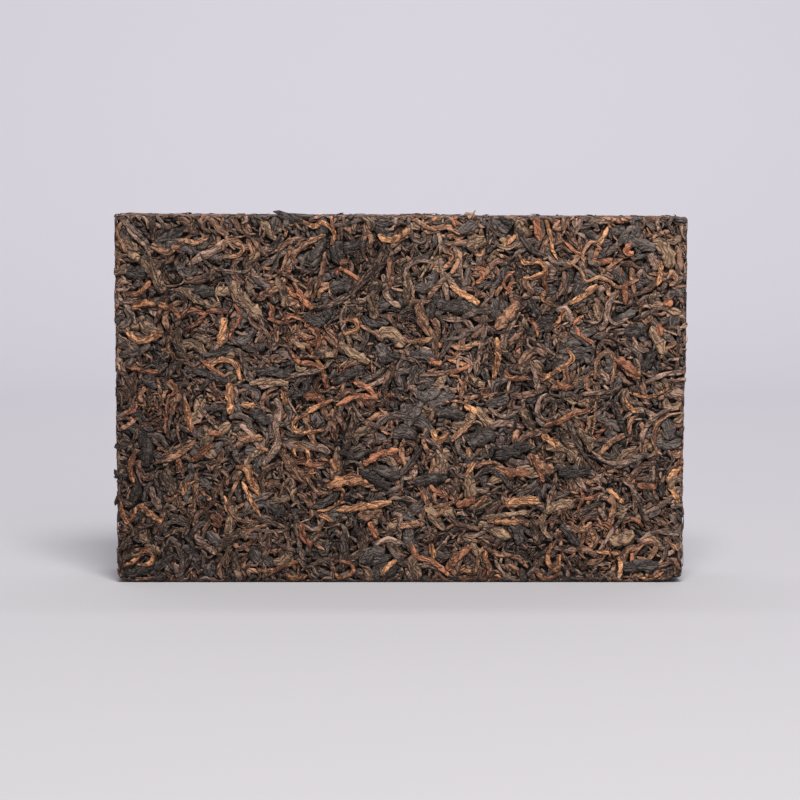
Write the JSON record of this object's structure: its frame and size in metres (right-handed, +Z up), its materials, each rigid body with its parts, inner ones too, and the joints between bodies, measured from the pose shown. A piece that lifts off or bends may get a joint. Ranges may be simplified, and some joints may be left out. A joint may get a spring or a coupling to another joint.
{
  "type": "pressed tea brick",
  "caption": "Rectangular brick of pressed dark fermented tea leaves, packed tight with rough leafy faces and worn corners.",
  "frame": {"origin": "middle of the brick's box, at the long narrow edge that it stands on", "axes": "+X along the brick's length, -Y is the broad face seen from the front, +Y through its thickness, +Z up"},
  "size_m": [0.14, 0.025, 0.0911],
  "materials": {
    "pressed_tea": "dry leaves with a dull sheen, dark brown with tan and gold tips; wood stands in for dry plant matter"
  },
  "bodies": {
    "root": {"tea_brick": "pressed_tea"}
  },
  "joints": []
}
